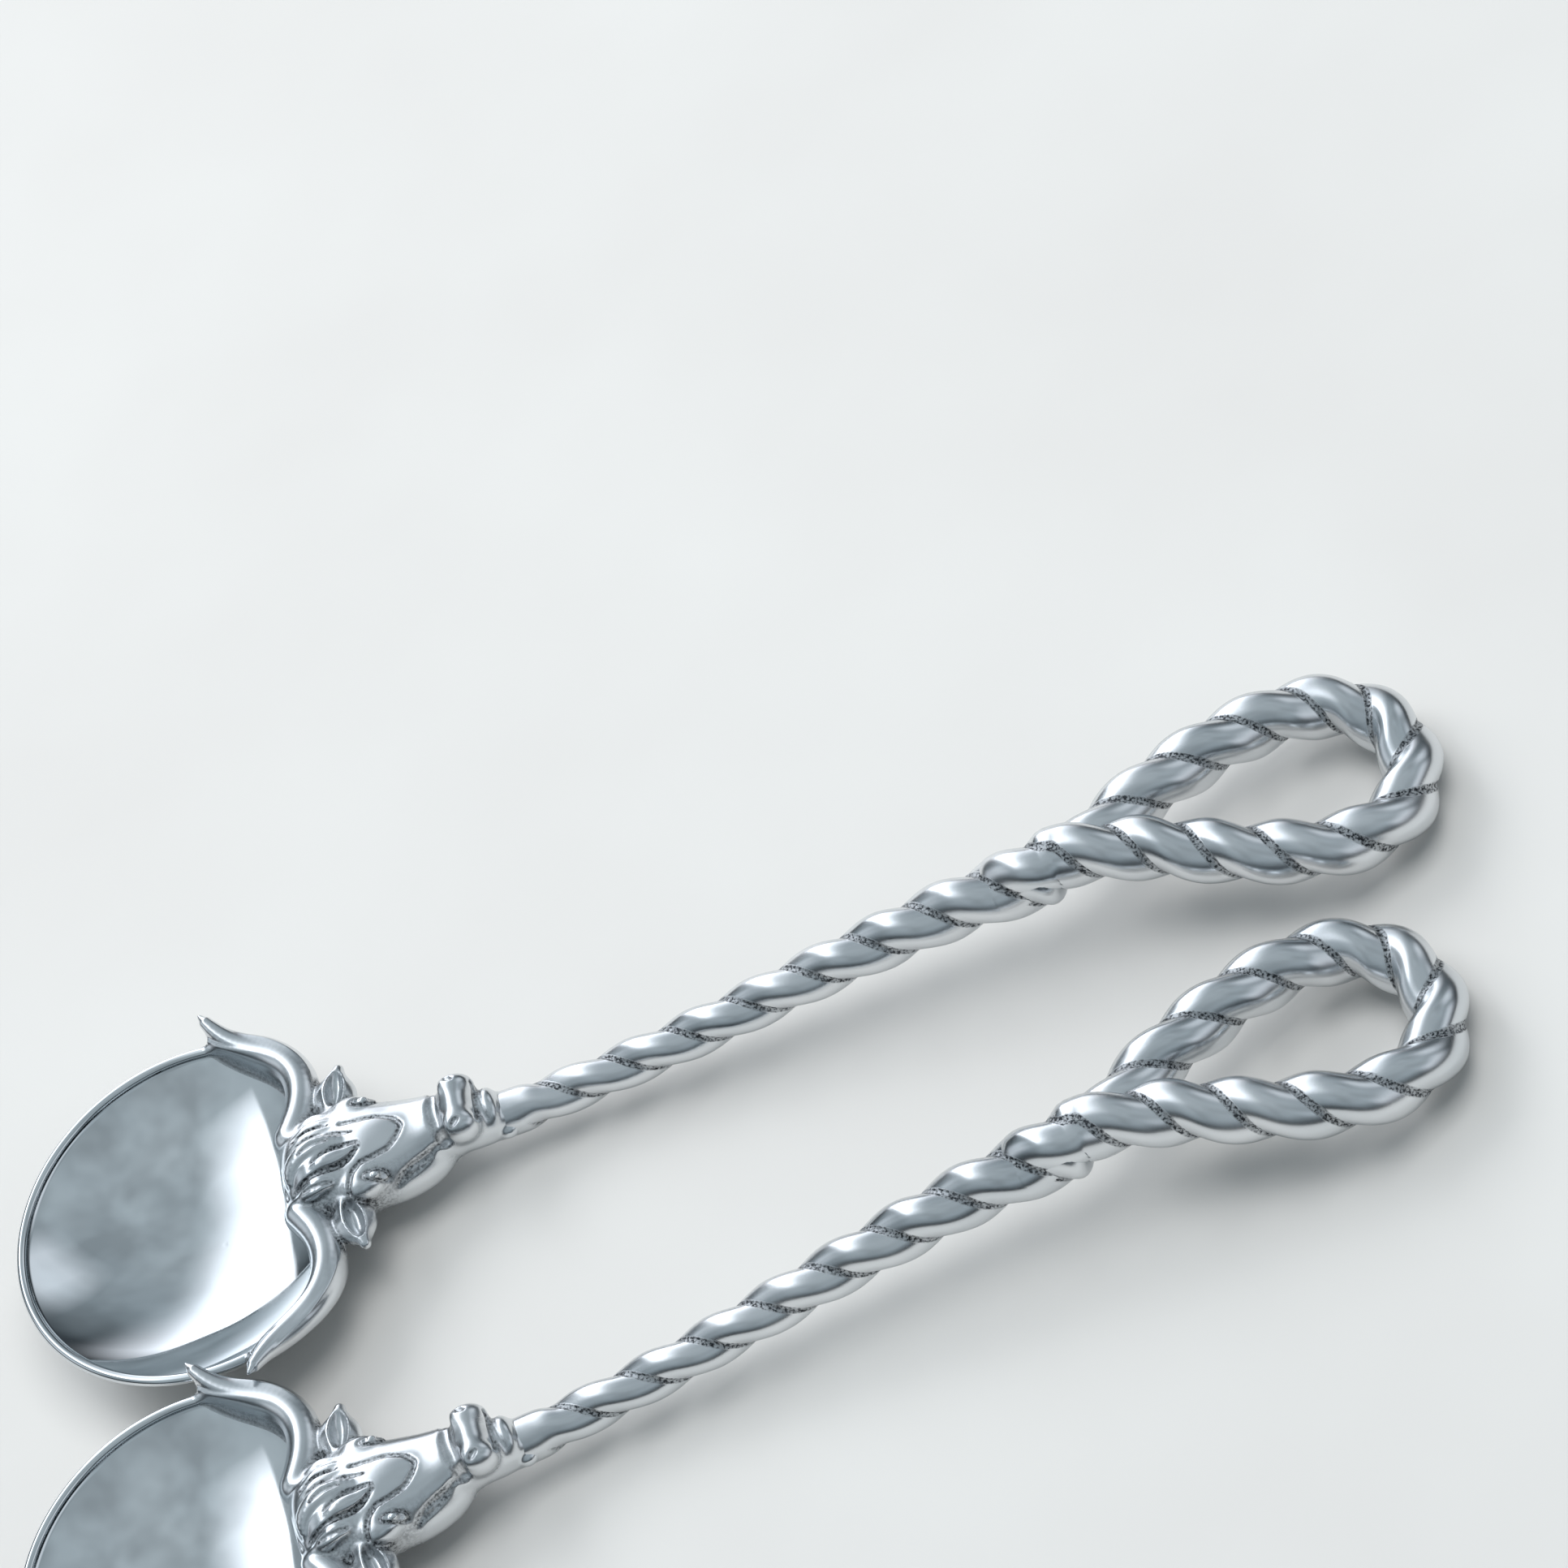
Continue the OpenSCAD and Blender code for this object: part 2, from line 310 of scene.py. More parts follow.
def block(low, high):
    """The part of the grid between two corners: its slices, and x, y and z ready to broadcast."""
    cuts, rulers = [], []
    for axis in range(3):
        first = max(0, int((low[axis] - CLAY_LOW[axis]) / CLAY_STEP))
        last = min(CLAY_SHAPE[axis], int((high[axis] - CLAY_LOW[axis]) / CLAY_STEP) + 2)
        cuts.append(slice(first, last))
        ruler = (CLAY_LOW[axis] + CLAY_STEP * np.arange(first, last)).astype(np.float32)
        rulers.append(ruler.reshape([-1 if i == axis else 1 for i in range(3)]))
    return tuple(cuts), rulers


def smooth_min(a, b, blend):
    """The lower of two fields, with a soft fillet of about the blend's size between them."""
    share = np.clip(0.5 + 0.5 * (b - a) / blend, 0, 1)
    return b + (a - b) * share - blend * share * (1 - share)


def press_on(clay, shape, blend):
    """Adds a lump. A shape is a distance function with the corners of the space that it fills."""
    distance, low, high = shape
    cuts, (x, y, z) = block(low - blend, high + blend)
    clay[cuts] = smooth_min(clay[cuts], distance(x, y, z), blend)


def cut_out(clay, shape, blend):
    """Takes a lump away, with a soft edge."""
    distance, low, high = shape
    cuts, (x, y, z) = block(low - blend, high + blend)
    clay[cuts] = -smooth_min(-clay[cuts], distance(x, y, z), blend)


def rod(points, radii):
    """A chain of tapered round rods through the points. One radius may serve them all."""
    points = np.asarray(points, float)
    radii = np.broadcast_to(radii, len(points))

    def distance(x, y, z):
        best = None
        for a, b, ra, rb in zip(points[:-1], points[1:], radii[:-1], radii[1:]):
            d = b - a
            px, py, pz = x - a[0], y - a[1], z - a[2]
            t = np.clip((px * d[0] + py * d[1] + pz * d[2]) / max(d @ d, 1e-9), 0, 1)
            gap = np.sqrt((px - t * d[0]) ** 2 + (py - t * d[1]) ** 2 + (pz - t * d[2]) ** 2)
            gap = gap - (ra + (rb - ra) * t)
            best = gap if best is None else np.minimum(best, gap)
        return best

    reach = max(radii)
    return distance, points.min(0) - reach, points.max(0) + reach


def egg(centre, radii, turn=(0, 0, 0)):
    """An egg with three radii, turned about x, y and z by degrees."""
    axes = np.array(Matrix.Rotation(math.radians(turn[2]), 3, "Z")
                    @ Matrix.Rotation(math.radians(turn[1]), 3, "Y")
                    @ Matrix.Rotation(math.radians(turn[0]), 3, "X"))
    centre, radii = np.array(centre, float), np.array(radii, float)

    def distance(x, y, z):
        px, py, pz = x - centre[0], y - centre[1], z - centre[2]
        near, far = 0, 0
        for i in range(3):
            q = px * axes[0, i] + py * axes[1, i] + pz * axes[2, i]
            near = near + (q / radii[i]) ** 2
            far = far + (q / radii[i] ** 2) ** 2
        near = np.sqrt(near)
        return near * (near - 1) / np.sqrt(far + 1e-9)

    reach = np.abs(axes) @ radii
    return distance, centre - reach, centre + reach


def top_of(clay, x, y):
    """The height of the clay's top at the places (x, y) in plan."""
    near = np.round((np.stack([x, y], 1) - CLAY_LOW[:2]) / CLAY_STEP).astype(int)
    column = clay[near[:, 0], near[:, 1]]
    row = np.arange(len(near))
    top = CLAY_SHAPE[2] - 1 - np.argmax(column[:, ::-1] < 0, axis=1)
    inside, outside = column[row, top], column[row, np.minimum(top + 1, CLAY_SHAPE[2] - 1)]
    return CLAY_LOW[2] + CLAY_STEP * (top + inside / (inside - outside - 1e-6))


def ease(values, rounds):
    """Values along a line with their small steps smoothed, the ends kept."""
    for _ in range(rounds):
        values[1:-1] = (values[:-2] + 2 * values[1:-1] + values[2:]) / 4
    return values


def laid(clay, plan, sink, count=14):
    """Points along a smooth line through the plan's (x, y) places, sunk below the clay's top."""
    plan = np.array(plan, float)
    share = np.linspace(0, len(plan) - 1, count)
    index = np.arange(len(plan))
    x = ease(np.interp(share, index, plan[:, 0]), 2)
    y = ease(np.interp(share, index, plan[:, 1]), 2)
    return np.stack([x, y, ease(top_of(clay, x, y), 3) - sink], 1)


print("clay grid", CLAY_SHAPE)

# %% [markdown]
# ## The skull
#
# The head is a smooth wedge: wide at the poll between the horns, narrow over the bridge of the
# nose. Its sections are rounded boxes whose width, height and middle change along X. Towards the
# rope the sections close in, so that the neck ends inside the rope and leaves no step.

# %% The skull's sections
SKULL = np.array((
    # x, half width, half height, middle height
    (17.6, 4.0, 3.6, -3.4), (18.4, 8.0, 5.4, -3.2), (19.6, 10.4, 6.6, -3.0), (21.5, 11.8, 7.2, -2.6),
    (25.0, 12.6, 7.5, -2.2), (30.0, 12.7, 7.9, -1.9), (37.0, 11.6, 8.1, -1.9),
    (43.0, 9.9, 7.5, -2.1), (48.0, 8.2, 6.9, -1.5), (51.5, 7.1, 6.8, -0.9), (56.0, 6.4, 6.0, -0.4),
    (60.0, 5.8, 5.7, -1.6), (63.0, 4.9, 4.8, -2.6), (65.5, 4.4, 4.3, -3.3), (68.0, 3.2, 3.2, -3.5),
))
SKULL_POWER = 2.3
SKULL_SMOOTH = 1.2


def skull_section(x):
    """Half width, half height and middle height at x, eased between the table's rows."""
    x = np.asarray(x, float)
    fine = np.arange(SKULL[0, 0] - 4, SKULL[-1, 0] + 4, 0.1)
    weight = np.exp(-0.5 * (np.arange(-30, 31) * 0.1 / SKULL_SMOOTH) ** 2)
    found = []
    for column in (1, 2, 3):
        row = np.interp(fine, SKULL[:, 0], SKULL[:, column])
        padded = np.pad(row, 30, mode="edge")
        found.append(np.interp(x, fine, np.convolve(padded, weight / weight.sum(), "valid")))
    return found


def skull():
    """The bare wedge of the head."""
    start, stop = SKULL[0, 0], SKULL[-1, 0]

    def distance(x, y, z):
        wide, high, middle = [v.reshape(x.shape).astype(np.float32) for v in skull_section(x.ravel())]
        across = np.abs(y / wide) ** SKULL_POWER + np.abs((z - middle) / high) ** SKULL_POWER
        side = (across ** (1 / SKULL_POWER) - 1) * np.minimum(wide, high)
        return -smooth_min(-side, -np.maximum(start - x, x - stop), 2.2)

    return distance, np.array((start - 1, -14.0, -11.0)), np.array((stop + 1, 14.0, 11.0))


print("skull half width at the brow", round(float(skull_section(37.0)[0]), 2), "mm")

# %% [markdown]
# ## Horns
#
# Each horn grows out of the poll, follows the rim and flips outwards at its tip. Its middle line
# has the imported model's rule. The clay of a horn melts into the wall of the bowl with a wide
# fillet, which is the dark hollow flank on the inside of the real horn.

# %% Horns and the piece of the bowl's wall that carries them
HORN_HALF = 3.6
HORN_TIP_HALF = 0.4
HORN_ROOT_H = -0.6
WALL_SINK = 0.08
WALL_REACH = 4.4


def horn_line(side, shares):
    """The horn's middle line. side is 1 for the left horn and -1 for the right."""
    bearing = np.radians(HORN_ROOT_A + (HORN_TIP_A - HORN_ROOT_A) * shares ** HORN_SPREAD)
    radius = horn_reach(shares)
    height = HORN_ROOT_H + (HORN_TIP_H - HORN_ROOT_H) * shares ** 5
    return np.stack([radius * np.cos(bearing), side * radius * np.sin(bearing), height], 1)


def horn(side):
    """One horn."""
    shares = np.linspace(0, 1, 30)
    return rod(horn_line(side, shares), HORN_HALF * (1 - shares) ** 0.38 + HORN_TIP_HALF)


def web(side):
    """The metal under a horn's thick half, down to the drawn-in wall."""
    shares = np.linspace(0, 0.55, 12)
    points = horn_line(side, shares)
    wall = wall_height(horn_reach(shares)) - RIM_SEAT
    points[:, 2] = (points[:, 2] + wall) / 2
    return rod(points, np.linspace(2.7, 1.4, 12))


def wall_of_bowl():
    """The bowl's wall, a little thinner than the real one so that it stays hidden in it."""
    low, high = np.array((-2.0, -41.0, -15.0)), np.array((42.0, 41.0, 2.0))

    def distance(x, y, z):
        plan = np.sqrt(x * x + y * y)
        bead_r = rim_radius(np.arctan2(y, x)) - RIM_BEAD
        bead_h = wall_height(bead_r) - RIM_SEAT
        outside = np.sqrt(plan ** 2 + (z - OUTER_TOP) ** 2) - (OUTER_R - WALL_SINK)
        inside = (INNER_R + WALL_SINK) - np.sqrt(plan ** 2 + (z - INNER_TOP) ** 2)
        shell = np.maximum(np.maximum(outside, inside), plan - bead_r)
        bead = np.sqrt((plan - bead_r) ** 2 + (z - bead_h) ** 2) - (RIM_BEAD - WALL_SINK)
        return np.minimum(shell, bead)

    return distance, low, high


clay_horns = fresh_clay()
for side in (1, -1):
    press_on(clay_horns, horn(side), 0.5)
    press_on(clay_horns, web(side), 2.0)
print("horn clay", round(float((clay_horns < 0).sum()) * CLAY_STEP ** 3), "cubic mm")

# %% [markdown]
# ## Face, forelock and ears
#
# The sculptor works from large to small: the skull, the muzzle, the ears, then the locks of hair,
# the blaze, the eyes and the nostrils. Locks are lens shaped rods that lie close together, so
# their own roundness leaves the deep grooves that hold the dark patina. Each fine line is laid on
# the top of the clay as it stands at that moment, so its depth is the same all along.

# %% The face
LOCKS = (
    # places (x, y) along the lock, thickness
    (((20.9, -5.2), (21.8, -1.8), (25.4, 0.4), (30.0, 1.0), (34.8, -0.1)), 2.7),
    (((26.0, -4.4), (29.6, -3.5), (33.0, -3.1), (36.2, -2.3)), 1.9),
    (((21.0, -8.2), (25.2, -8.0), (30.4, -7.6)), 2.0),
    (((21.8, 3.4), (25.9, 4.8), (31.4, 4.5)), 1.3),
    (((22.8, 6.2), (26.7, 7.2), (31.2, 6.6)), 1.2),
    (((23.6, 8.8), (27.3, 9.5), (30.6, 8.6)), 1.2),
)
COMBED = (
    ((21.3, -6.6), (25.9, -5.9), (31.0, -5.7), (34.0, -4.6), (36.4, -2.8)),
    ((26.4, -3.3), (29.0, -2.0), (31.4, -1.4), (34.0, -1.3), (36.4, -1.6)),
    ((22.4, 1.0), (26.3, 2.8), (30.8, 2.9), (35.6, 1.2)),
    ((22.4, 5.0), (25.8, 5.9), (30.6, 5.6)),
    ((23.4, -8.4), (26.6, -8.6), (29.6, -8.2)), ((24.4, -0.6), (27.6, 0.6), (30.6, 0.7)),
)
BLAZE_LINE = ((33.4, 4.6), (37.2, 3.9), (41.1, 3.4), (44.4, 1.6), (45.8, -0.6), (44.4, -2.8),
              (42.3, -4.6), (39.4, -5.4), (36.0, -6.0), (33.9, -7.6), (32.7, -10.2), (32.4, -11.4))
CHEEK_LINE = ((52.0, 6.3), (49.5, 7.3), (46.5, 8.4), (43.5, 9.6), (41.5, 10.6))
POLL_EDGE = ((23.2, 10.4, 1.0), (20.7, 7.0, 1.5), (19.2, 1.1, 1.8), (19.1, -6.2, 1.5), (20.4, -9.8, 1.0))


def lens(count, thick, power=0.7):
    """Radii that swell from nearly nothing to thick and back."""
    return 0.12 + (thick - 0.12) * np.sin(np.linspace(0, math.pi, count)) ** power


def mirrored(plan, side):
    """The same places on the left (1) or the right (-1)."""
    return [(x, y * side) for x, y in plan]


def face():
    """The clay of the whole head."""
    clay = fresh_clay()
    press_on(clay, skull(), 0.4)
    press_on(clay, egg((39.5, 0, 2.6), (9.0, 5.4, 3.8), (0, 4, 0)), 1.2)
    press_on(clay, egg((27.2, -2.4, 2.6), (6.7, 7.0, 4.4), (0, -4, 0)), 0.8)
    for side in (1, -1):
        press_on(clay, egg((35.2, 8.8 * side, 1.7), (4.8, 3.6, 3.2), (25 * side, 0, -14 * side)), 1.4)
        press_on(clay, egg((57.0, 4.5 * side, 3.4), (4.4, 3.0, 3.8), (0, 0, 8 * side)), 1.2)
        press_on(clay, egg((45.0, 7.7 * side, -3.6), (8.0, 2.6, 4.0), (0, 0, -14 * side)), 1.6)
    press_on(clay, egg((57.3, 0, 3.0), (3.2, 6.0, 4.1)), 2.4)
    return clay


grime = fresh_clay()


def score(clay, points, radii, blend):
    """Cuts a line and remembers where, because scored lines hold dark patina however narrow."""
    cut_out(clay, rod(points, radii), blend)
    press_on(grime, rod(points, 0.05), 1.5)


clay_face = face()
print("face clay", round(float((clay_face < 0).sum()) * CLAY_STEP ** 3), "cubic mm")

# %% Locks of hair


def add_locks(clay):
    """Presses the locks on, then combs lines along and between them."""
    bare = clay.copy()
    for plan, thick in LOCKS:
        path = laid(bare, plan, thick * 0.45, 18)
        lump = fresh_clay()
        press_on(lump, rod(path, lens(18, thick, 0.5)), 0.3)
        clay[:] = smooth_min(clay, lump, 0.35)
    for plan in COMBED:
        score(clay, laid(clay, plan, -0.05, 30), lens(30, 0.6, 0.35), 0.3)


add_locks(clay_face)
print("locks", len(LOCKS))

# %% Blaze, cheeks, muzzle, lips and nostrils


def add_features(clay):
    """Cuts and presses the small features of the face."""
    score(clay, laid(clay, BLAZE_LINE, -0.05, 80), 0.55, 0.3)
    over = [(52.6 + 0.02 * y * y, y) for y in np.linspace(-6.4, 6.4, 15)]
    cut_out(clay, rod(laid(clay, over, -0.9, 30), 1.5), 0.8)
    press_on(clay, egg((63.0, 0.4, -0.6), (2.4, 4.6, 3.9), (0, 0, 6)), 0.4)
    press_on(clay, egg((65.0, -3.4, -3.6), (2.4, 2.2, 1.9)), 0.5)
    behind = [(61.2, y) for y in np.linspace(-4.6, 4.6, 13)]
    score(clay, laid(clay, behind, -0.15, 26), 0.5, 0.4)
    press_on(clay, rod(POLL_EDGE, 0.6), 0.3)
    for side in (1, -1):
        root = ((22.0, 10.8 * side, 0.4), (26.0, 12.4 * side, 0.6), (29.2, 13.0 * side, 1.0))
        press_on(grime, rod(root, (0.5, 0.9, 0.8)), 0.5)
        cut_out(clay, rod(laid(clay, mirrored(CHEEK_LINE, side), -0.3, 24), lens(24, 0.9)), 0.9)
        nostril = ((58.0, 5.0 * side), (57.0, 5.5 * side), (56.2, 6.1 * side))
        score(clay, laid(clay, nostril, -0.15, 10), lens(10, 0.75, 0.4), 0.3)


add_features(clay_face)
print("features cut")

# %% Eyes and ears


def add_eye(clay, side):
    """An almond rim with an eyeball in it, seated on the side of the head."""
    middle = np.array((38.4, 9.3 * side))
    turn = np.linspace(0, math.tau, 33)
    wide, narrow = 2.3 * np.cos(turn), 0.8 * np.sin(turn)
    bare = clay.copy()
    height = float(top_of(bare, middle[:1], middle[1:])[0])
    socket = [middle + (1.1 * w, 1.3 * n) for w, n in zip(wide, narrow)]
    score(clay, laid(bare, socket, -0.15, 33), 0.42, 0.35)
    rim = [middle + pair for pair in zip(wide * 0.85, narrow * 0.9)]
    press_on(clay, rod(laid(bare, rim, 0.15, 33), 0.32), 0.2)
    press_on(clay, egg((*middle, height - 0.1), (1.1, 0.7, 0.8), (-45 * side, 0, 0)), 0.15)
    press_on(clay, rod(laid(bare, ((43.2, 8.9 * side), (46.6, 7.8 * side)), 0.2, 6), lens(6, 0.6)), 0.4)


def add_ear(clay, side):
    """A pointed leaf hollowed to a cup, just behind the horn."""
    root, tip = np.array((30.6, 11.0 * side, 0.4)), np.array((33.2, 21.8 * side, 0.4))
    share = np.linspace(0, 1, 12)
    path = root + (tip - root) * share[:, None]
    path[:, 2] += 1.0 * np.sin(share * math.pi)
    leaf = fresh_clay()
    press_on(leaf, egg((31.5, 15.6 * side, 0.0), (4.6, 5.2, 2.7), (0, 8, -10 * side)), 0.5)
    press_on(leaf, rod(((31.7, 16.4 * side, 0.2), tuple(tip)), (3.0, 1.2)), 1.4)
    press_on(leaf, rod(path, 2.3 * (1 - share) ** 0.6 + 0.35), 1.0)
    cut_out(leaf, egg((32.4, 16.4 * side, 3.0), (1.9, 4.8, 2.8), (0, 6, -10 * side)), 0.4)
    score(leaf, ((31.6, 13.4 * side, 1.4), (32.4, 17.6 * side, 1.0)), (0.7, 0.3), 0.4)
    clay[:] = smooth_min(clay, leaf, 0.6)


for side in (1, -1):
    add_eye(clay_face, side)
    add_ear(clay_face, side)
print("eyes and ears added")

# %% [markdown]
# ## From clay to metal
#
# Horns, wall and head are joined, the wall is kept only close to the steer, and the clay is
# given a skin: one point in every grid cell that the surface crosses, then a few rounds of
# relaxing and pulling the points back to the exact surface. How hollow each place is comes from
# the clay too, and is kept with each point, because dark patina stays where no polishing wheel
# can reach.

# %% Join the clay
HORN_FILLET = 3.6
HEAD_FILLET = 1.0
clay_wall = fresh_clay()
press_on(clay_wall, wall_of_bowl(), 0.01)
steer = np.minimum(clay_horns, clay_face)
clay_wall = np.maximum(clay_wall, steer - WALL_REACH)
steer = smooth_min(smooth_min(clay_wall, clay_horns, HORN_FILLET), clay_face, HEAD_FILLET)
print("steer clay", round(float((steer < 0).sum()) * CLAY_STEP ** 3), "cubic mm")

# %% Skin


def read_clay(clay, points):
    """The field's value at the points, blended from the eight grid points around each."""
    place = (points - CLAY_LOW) / CLAY_STEP
    place = np.clip(place, 0, np.array(CLAY_SHAPE) - 1.001)
    base = place.astype(int)
    share = place - base
    value = 0
    for i in (0, 1):
        for j in (0, 1):
            for k in (0, 1):
                weight = (np.where(i, share[:, 0], 1 - share[:, 0])
                          * np.where(j, share[:, 1], 1 - share[:, 1])
                          * np.where(k, share[:, 2], 1 - share[:, 2]))
                value = value + weight * clay[base[:, 0] + i, base[:, 1] + j, base[:, 2] + k]
    return value


def outward(clay, points, reach=CLAY_STEP):
    """The direction in which the field grows fastest, and how fast it grows."""
    slope = np.empty_like(points)
    for axis in range(3):
        step = np.zeros(3)
        step[axis] = reach
        ahead, back = read_clay(clay, points + step), read_clay(clay, points - step)
        slope[:, axis] = (ahead - back) / (2 * reach)
    return slope


def settle(clay, rounds=8):
    """Fills grid squares whose inside corners only meet at a diagonal, where skins would touch."""
    for _ in range(rounds):
        filled = 0
        for axis in range(3):
            corners = []
            for i, j in ((0, 0), (0, 1), (1, 0), (1, 1)):
                cut = [slice(None)] * 3
                cut[(axis + 1) % 3] = slice(i, i - 1 or None)
                cut[(axis + 2) % 3] = slice(j, j - 1 or None)
                corners.append(clay[tuple(cut)])
            a, b, c, d = corners
            diagonal = (a < 0) & (d < 0) & (b >= 0) & (c >= 0)
            b[diagonal] = -0.01
            other = (b < 0) & (c < 0) & (a >= 0) & (d >= 0)
            a[other] = -0.01
            filled += int(diagonal.sum() + other.sum())
        if filled == 0:
            break
    return filled


def skin(clay):
    """Points and four-sided faces of the surface where the field is zero."""
    inside = clay < 0
    size = [n - 1 for n in clay.shape]
    corners = [(i, j, k) for i in (0, 1) for j in (0, 1) for k in (0, 1)]
    count = np.zeros(size, np.int8)
    for i, j, k in corners:
        count += inside[i:i + size[0], j:j + size[1], k:k + size[2]]
    cells = np.argwhere((count > 0) & (count < 8))
    number = np.full(size, -1, np.int64)
    number[tuple(cells.T)] = np.arange(len(cells))
    value = {c: clay[tuple((cells + c).T)].astype(float) for c in corners}
    total, hits = np.zeros((len(cells), 3)), np.zeros(len(cells))
    for a in corners:
        for axis in range(3):
            if a[axis]:
                continue
            b = tuple(1 if i == axis else a[i] for i in range(3))
            crossed = (value[a] < 0) != (value[b] < 0)
            share = np.where(crossed, value[a] / np.where(crossed, value[a] - value[b], 1), 0)
            total += crossed[:, None] * np.array(a)
            total[:, axis] += share
            hits += crossed
    points = (cells + total / hits[:, None]) * CLAY_STEP + CLAY_LOW
    faces = []
    for axis in range(3):
        first = [slice(None)] * 3
        second = [slice(None)] * 3
        first[axis], second[axis] = slice(0, -1), slice(1, None)
        start, end = inside[tuple(first)], inside[tuple(second)]
        u, v = np.eye(3, dtype=int)[(axis + 1) % 3], np.eye(3, dtype=int)[(axis + 2) % 3]
        edges = np.argwhere(start != end)
        around = np.stack([number[tuple((edges - u - v).T)], number[tuple((edges - v).T)],
                           number[tuple(edges.T)], number[tuple((edges - u).T)]], 1)
        grows = start[tuple(edges.T)]
        faces.append(np.where(grows[:, None], around, around[:, ::-1]))
    return points, np.concatenate(faces)


def relax(clay, points, faces, rounds=4):
    """Evens out the points and pulls them back to the surface."""
    sides = np.concatenate([faces[:, [i, (i + 1) % 4]] for i in range(4)])
    degree = np.bincount(sides[:, 0], minlength=len(points))
    for _ in range(rounds):
        mean = np.stack([np.bincount(sides[:, 0], points[sides[:, 1], axis], len(points))
                         for axis in range(3)], 1) / degree[:, None]
        points = points + 0.6 * (mean - points)
        for _ in range(2):
            slope = outward(clay, points)
            size = np.maximum((slope ** 2).sum(1), 0.05)
            points = points - (read_clay(clay, points) / size)[:, None] * slope
    return points


print("diagonal squares left", settle(steer))
steer_points, steer_faces = skin(steer)
steer_points = relax(steer, steer_points, steer_faces)
print("steer skin", len(steer_points), "points", len(steer_faces), "faces")

# %% How hollow each place is


def hollow(clay, points, reaches=(0.7, 1.4, 2.4)):
    """0 on open skin, up to 1 deep in a groove, from how the field grows away from the skin."""
    slope = outward(clay, points)
    slope /= np.maximum(np.linalg.norm(slope, axis=1), 1e-6)[:, None]
    found = 0
    for reach in reaches:
        found = found + np.clip(1 - read_clay(clay, points + slope * reach) / reach, 0, 1)
    scored = np.clip(1.25 - read_clay(grime, points) / 0.5, 0, 1)
    return np.clip(np.maximum(found / len(reaches), 0.75 * scored), 0, 1)


steer_hollow = hollow(steer, steer_points)
print("hollow share", [round(float(v), 2) for v in np.percentile(steer_hollow, (5, 50, 90, 99))])

# %% [markdown]
# ## Cast aluminium
#
# Both finishes are the same casting alloy. The bowl is buffed to a mirror: a faint haze, hairline
# wiping marks and a few soft smears are all that break it. The sculpted parts are tumbled and
# hand rubbed: bright on every crest, while the grooves keep the dull skin of the sand mould and a
# dark patina. The dark share comes from the attribute "hollow" that each mesh carries.

# %% The finishes


def finish_tree(name):
    """A new material with an empty node tree."""
    material = bpy.data.materials.new(name)
    material.use_nodes = True
    material.node_tree.nodes.clear()
    return material, material.node_tree


def mottle(tree, size_mm, detail=2.0, stretch=(1.0, 1.0, 1.0), offset=0.0):
    """Noise whose blots are about size_mm across, on Object coordinates."""
    place = add_node(tree, "ShaderNodeTexCoord").outputs["Object"]
    moved = add_node(tree, "ShaderNodeMapping",
                     {"Vector": place, "Scale": stretch, "Location": (offset, offset, 0)})
    return add_node(tree, "ShaderNodeTexNoise",
                    {"Vector": moved, "Scale": 1 / (size_mm * MM * 2), "Detail": detail,
                     "Roughness": 0.55})


def polished_aluminium():
    """Buffed cast aluminium: a bright, slightly cool mirror."""
    material, tree = finish_tree("polished_cast_aluminium")
    haze = mottle(tree, 11.0, 3.0)
    wiping = mottle(tree, 0.35, 2.0, (1.0, 0.06, 1.0), 0.3)
    smear = mottle(tree, 5.0, 4.0, (1.0, 0.35, 1.0), 0.7)
    colour = add_node(tree, "ShaderNodeValToRGB", [haze],
                      stops=((0.30, "#D6DBDE"), (0.70, "#E6E9EB")))
    even_rough = add_node(tree, "ShaderNodeMapRange", (haze, 0.3, 0.7, 0.035, 0.06))
    smear_rough = add_node(tree, "ShaderNodeMapRange", (smear, 0.55, 0.8, 0.0, 0.07))
    rough = add_node(tree, "ShaderNodeMath", (even_rough, smear_rough), operation="ADD")
    grain = add_node(tree, "ShaderNodeBump",
                     {"Height": wiping, "Strength": 0.03, "Distance": 0.03 * MM})
    shader = add_node(tree, "ShaderNodeBsdfPrincipled",
                      {"Base Color": colour, "Roughness": rough, "Metallic": 1.0, "Normal": grain})
    add_node(tree, "ShaderNodeOutputMaterial", {"Surface": shader})
    return material


